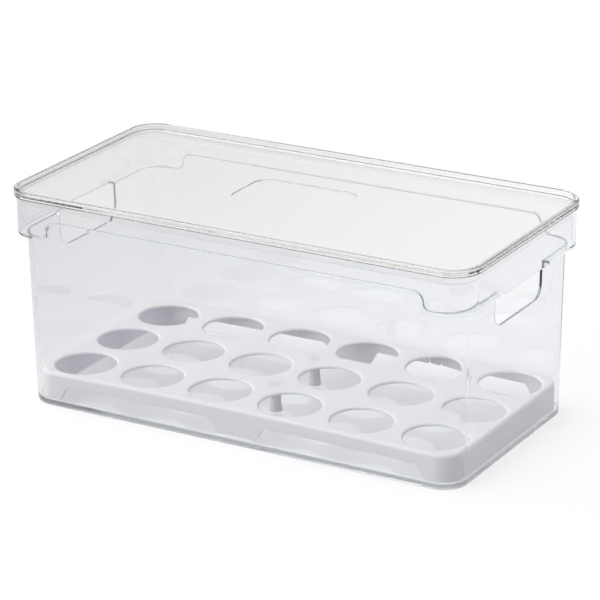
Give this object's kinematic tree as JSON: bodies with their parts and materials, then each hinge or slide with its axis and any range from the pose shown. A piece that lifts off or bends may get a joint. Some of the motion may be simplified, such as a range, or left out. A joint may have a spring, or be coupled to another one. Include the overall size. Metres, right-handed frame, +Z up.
{
  "type": "egg keeper with lid",
  "caption": "Clear rectangular bin with a stepped collar and handle holes, a clear lift-off lid, and a white tray with round egg holes inside.",
  "frame": {"origin": "centre of the base, on the surface it stands on", "axes": "+X along the length, +Y across the width towards the back, +Z up"},
  "size_m": [0.33, 0.168, 0.145],
  "materials": {
    "clear_bin": "clear moulded polystyrene, polished",
    "clear_lid": "clear moulded polystyrene, polished",
    "white_tray": "white moulded polypropylene, satin"
  },
  "bodies": {
    "bin": {"storage_bin": "clear_bin"},
    "lift_off_lid": {"lid": "clear_lid"},
    "loose_tray": {"egg_tray": "white_tray"}
  },
  "joints": [
    {"name": "lid_lift", "type": "slide", "parent": "bin", "child": "lift_off_lid", "axis": [0, 0, 1], "range_m": [0, 0.15]},
    {"name": "tray_lift", "type": "slide", "parent": "bin", "child": "loose_tray", "axis": [0, 0, 1], "range_m": [0, 0.1]}
  ]
}
